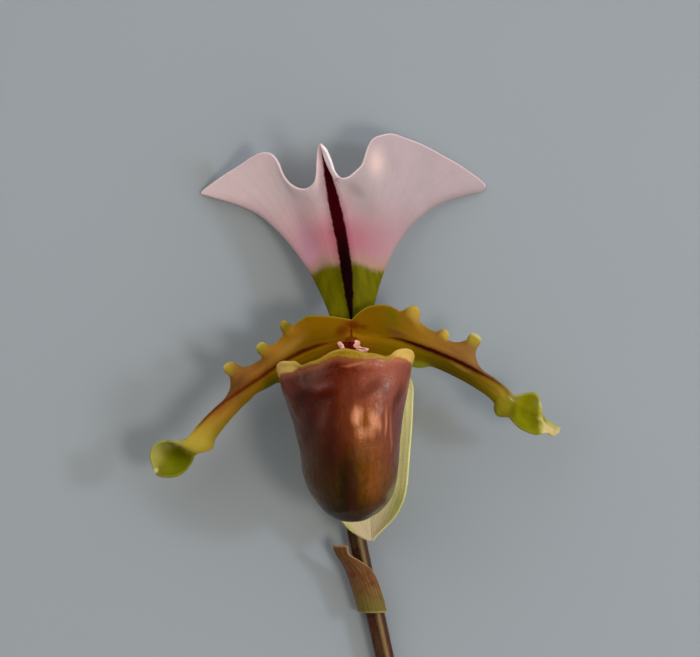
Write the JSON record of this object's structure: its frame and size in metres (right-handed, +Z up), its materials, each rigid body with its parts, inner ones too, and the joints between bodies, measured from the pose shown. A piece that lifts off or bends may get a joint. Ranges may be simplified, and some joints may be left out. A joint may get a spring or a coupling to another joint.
{
  "type": "paphiopedilum orchid bloom",
  "caption": "Cut slipper-orchid bloom lying on its back: hooded pouch, warty petals, a flared dorsal sepal with a dark midline, and a short stalk.",
  "frame": {"origin": "flat spot on the underside of the ovary, where the bloom rests on the surface below the flower's lower part", "axes": "+Z up from the surface, the way the bloom faces; +Y along the bloom from the stalk to the top of its dorsal sepal; +X to the right as seen when facing the bloom"},
  "size_m": [0.0745, 0.1167, 0.0266],
  "materials": {
    "dorsal_sepal": "matte",
    "synsepalum": "matte",
    "petals": "satin",
    "pouch": "gloss",
    "column": "satin",
    "staminode": "satin",
    "ovary": "matte",
    "bract": "matte",
    "flower_stalk": "matte"
  },
  "bodies": {
    "root": {"dorsal_sepal": "dorsal_sepal", "synsepalum": "synsepalum", "petal_left": "petals", "petal_right": "petals", "pouch": "pouch", "column": "column", "staminode": "staminode", "ovary": "ovary", "bract": "bract", "flower_stalk": "flower_stalk"}
  },
  "joints": []
}
